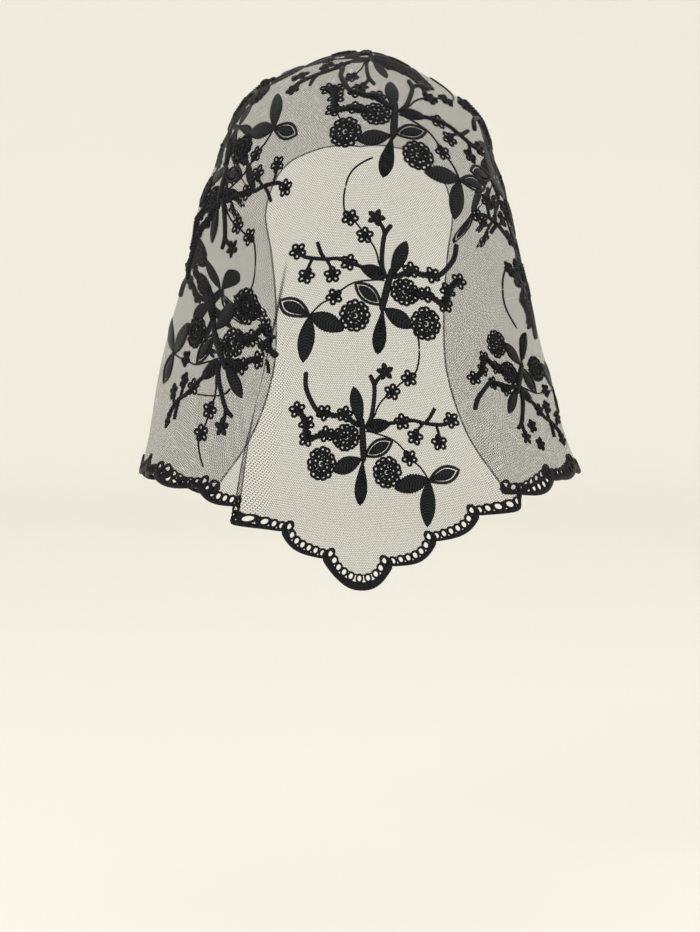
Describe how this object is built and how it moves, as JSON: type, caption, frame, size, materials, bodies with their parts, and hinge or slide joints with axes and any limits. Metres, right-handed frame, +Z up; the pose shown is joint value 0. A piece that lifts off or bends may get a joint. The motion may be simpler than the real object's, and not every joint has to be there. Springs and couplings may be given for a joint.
{
  "type": "lace headscarf",
  "caption": "Sheer black tulle head veil with embroidered floral sprays and a scalloped ladder-braid hem, worn over the crown and hanging to a pointed back.",
  "frame": {"origin": "the crown, where the veil lies on the top of the head, at the middle of the net's thickness", "axes": "+Z up, +Y towards the face, -Y towards the pointed back, +X to the right as seen from behind"},
  "size_m": [0.2849, 0.207, 0.3328],
  "materials": {
    "tulle": "sheer black tulle, matte",
    "braid": "black cord and satin thread, low sheen",
    "embroidery": "black satin-stitch thread, soft sheen"
  },
  "bodies": {
    "root": {"net_veil": "tulle", "hem_trim": "braid", "spray_back_low": "embroidery", "spray_back_middle": "embroidery", "spray_back_high": "embroidery", "spray_crown": "embroidery", "spray_left_low": "embroidery", "spray_left_high": "embroidery", "spray_left_top": "embroidery", "spray_left_cheek": "embroidery", "spray_right_low": "embroidery", "spray_right_high": "embroidery", "spray_right_top": "embroidery"}
  },
  "joints": []
}
